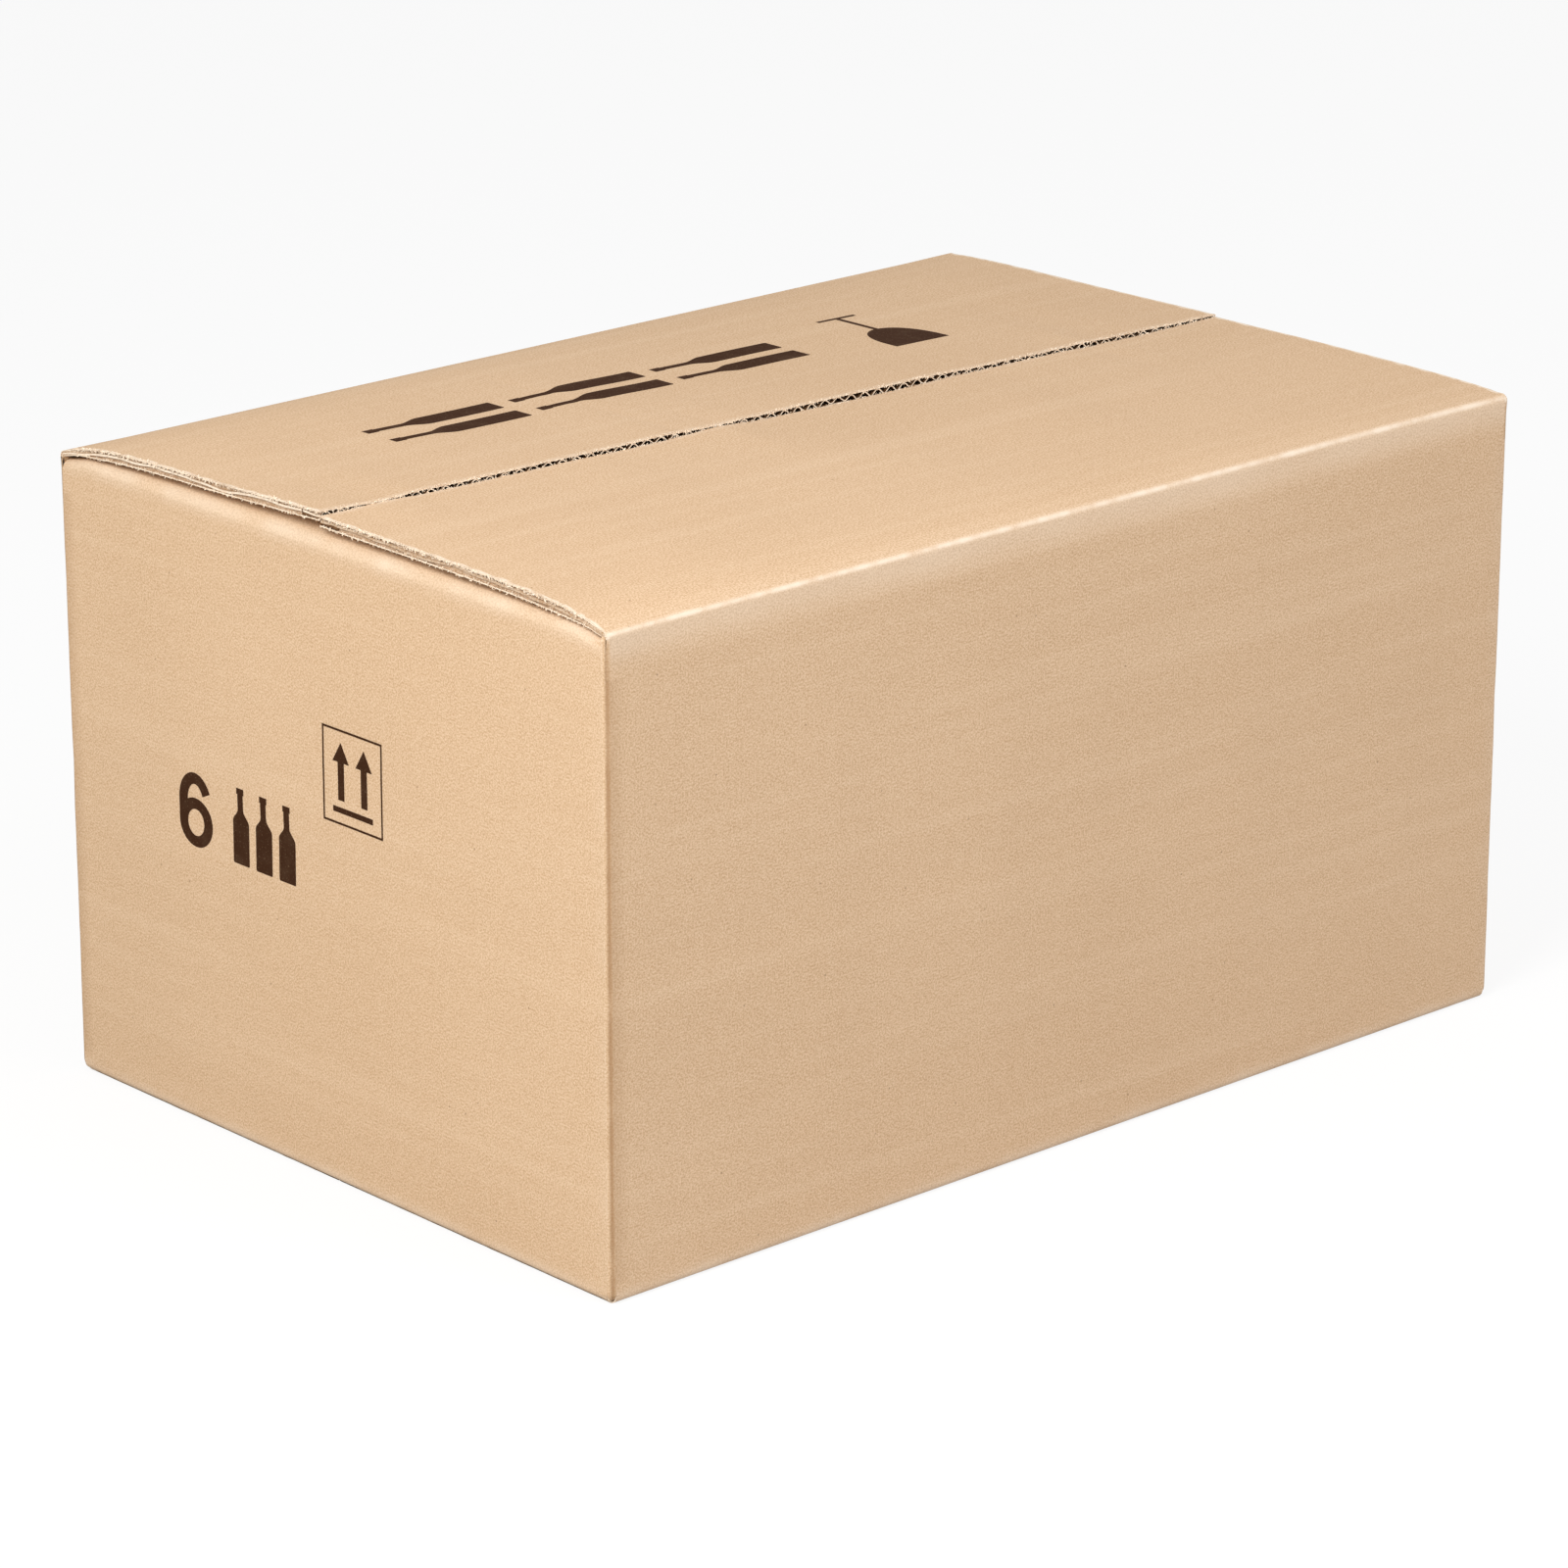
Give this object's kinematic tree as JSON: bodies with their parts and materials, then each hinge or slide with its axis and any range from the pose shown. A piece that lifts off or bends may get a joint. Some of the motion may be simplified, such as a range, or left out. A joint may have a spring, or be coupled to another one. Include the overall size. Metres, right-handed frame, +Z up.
{
  "type": "bottle shipping box",
  "caption": "Closed slotted carton of kraft corrugated board for shipping lying bottles, with hinged outer top flaps and folded board trays and end buffers inside.",
  "frame": {"origin": "middle of the base on the floor, under the centre of the box", "axes": "+X along the box, +Y across it towards the back flap, +Z up"},
  "size_m": [0.42, 0.285, 0.2315],
  "materials": {
    "kraft_board": "matt kraft paper",
    "insert_board": "matt brown test paper"
  },
  "bodies": {
    "carton": {"carton": "kraft_board", "lower_tray": "insert_board", "layer_pad": "insert_board", "upper_tray": "insert_board", "left_end_buffer": "insert_board", "right_end_buffer": "insert_board"},
    "front_flap": {"front_flap": "kraft_board"},
    "back_flap": {"back_flap": "kraft_board"}
  },
  "joints": [
    {"name": "front_flap_fold", "type": "hinge", "parent": "carton", "child": "front_flap", "pos_m": [0, -0.14069, 0.22419], "axis": [1, 0, 0], "range_deg": [0, 210]},
    {"name": "back_flap_fold", "type": "hinge", "parent": "carton", "child": "back_flap", "pos_m": [0, 0.14069, 0.22419], "axis": [-1, 0, 0], "range_deg": [0, 210]}
  ]
}
